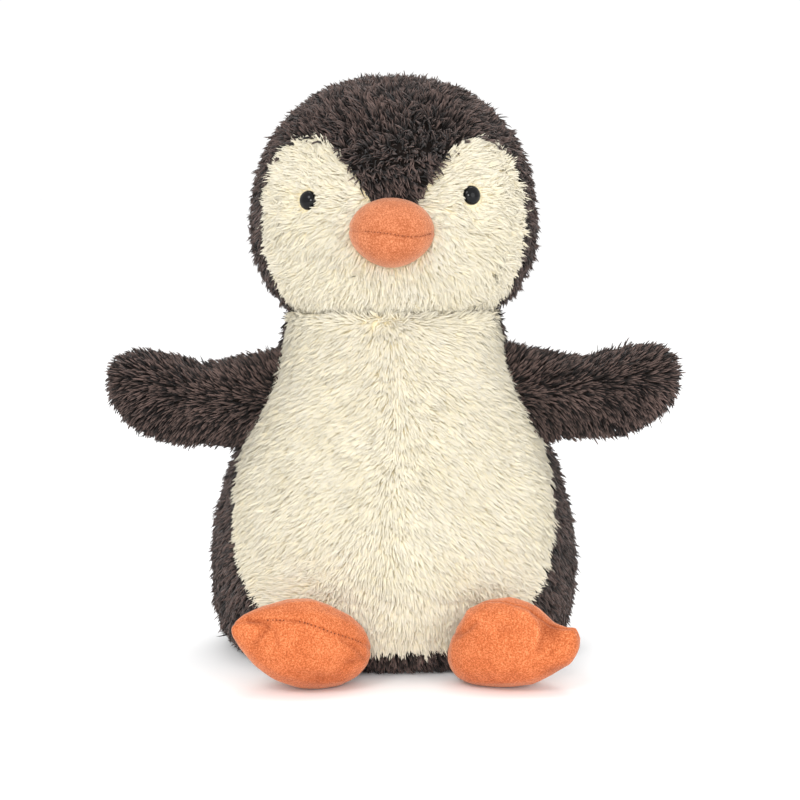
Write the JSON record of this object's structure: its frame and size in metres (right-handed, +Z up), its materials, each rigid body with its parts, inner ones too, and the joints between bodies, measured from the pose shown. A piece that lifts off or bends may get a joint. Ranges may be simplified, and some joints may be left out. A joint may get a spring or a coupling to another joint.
{
  "type": "plush penguin",
  "caption": "Seated stuffed toy penguin with long pile dark and cream fabric panels, suede beak and feet, domed eyes, and soft sewn joints at the neck, wings and feet.",
  "frame": {"origin": "centre of the flat seat panel, on the surface that the toy sits on", "axes": "+Z up, the penguin faces -Y, +X towards its left wing"},
  "size_m": [0.2238, 0.1561, 0.226],
  "materials": {
    "dark_fur": "long pile plush, matt, soft sheen",
    "cream_fur": "long pile plush, matt, soft sheen",
    "orange_suede": "very short pile micro plush, suede-like",
    "fibre_filling": "loose polyester fibre",
    "pouch_cloth": "woven cotton bag of pellets",
    "eye_plastic": "black, high gloss, domed",
    "washer_plastic": "natural moulded nylon"
  },
  "bodies": {
    "body": {"seat_panel": "dark_fur", "belly_panel_right": "cream_fur", "belly_panel_left": "cream_fur", "back_panel_right": "dark_fur", "back_panel_left": "dark_fur", "body_filling": "fibre_filling", "pellet_pouch": "pouch_cloth"},
    "neck": {"neck_filling": "fibre_filling"},
    "head": {"eye_right": "eye_plastic", "eye_left": "eye_plastic", "eye_washer_right": "washer_plastic", "eye_washer_left": "washer_plastic", "head_filling": "fibre_filling", "face_panel_right": "cream_fur", "face_panel_left": "cream_fur", "head_side_panel_right": "dark_fur", "crown_gusset": "dark_fur", "head_side_panel_left": "dark_fur", "beak_upper_panel": "orange_suede", "beak_lower_panel": "orange_suede", "beak_filling": "fibre_filling"},
    "wing_right": {"wing_front_panel_right": "dark_fur", "wing_back_panel_right": "dark_fur", "wing_filling_right": "fibre_filling"},
    "wing_left": {"wing_front_panel_left": "dark_fur", "wing_back_panel_left": "dark_fur", "wing_filling_left": "fibre_filling"},
    "foot_right": {"foot_upper_panel_right": "orange_suede", "foot_sole_panel_right": "orange_suede", "foot_filling_right": "fibre_filling"},
    "foot_left": {"foot_upper_panel_left": "orange_suede", "foot_sole_panel_left": "orange_suede", "foot_filling_left": "fibre_filling"}
  },
  "joints": [
    {"name": "head_turn", "type": "hinge", "parent": "body", "child": "neck", "pos_m": [0, -0.001, 0.168], "axis": [0, 0, 1], "range_deg": [-30, 30], "stiffness_Nm_per_rad": 0.06},
    {"name": "head_nod", "type": "hinge", "parent": "neck", "child": "head", "pos_m": [0, -0.001, 0.168], "axis": [1, 0, 0], "range_deg": [-15, 15], "stiffness_Nm_per_rad": 0.12},
    {"name": "wing_flap_right", "type": "hinge", "parent": "body", "child": "wing_right", "pos_m": [-0.065, -0.008, 0.0995], "axis": [0, 1, 0], "range_deg": [-40, 35], "stiffness_Nm_per_rad": 0.03},
    {"name": "wing_flap_left", "type": "hinge", "parent": "body", "child": "wing_left", "pos_m": [0.065, -0.008, 0.102], "axis": [0, -1, 0], "range_deg": [-40, 35], "stiffness_Nm_per_rad": 0.03},
    {"name": "foot_tilt_right", "type": "hinge", "parent": "body", "child": "foot_right", "pos_m": [-0.035, -0.062, 0.0126], "axis": [-1, 0, 0], "range_deg": [-10, 25], "stiffness_Nm_per_rad": 0.05},
    {"name": "foot_tilt_left", "type": "hinge", "parent": "body", "child": "foot_left", "pos_m": [0.0445, -0.062, 0.0126], "axis": [-1, 0, 0], "range_deg": [-10, 25], "stiffness_Nm_per_rad": 0.05}
  ]
}
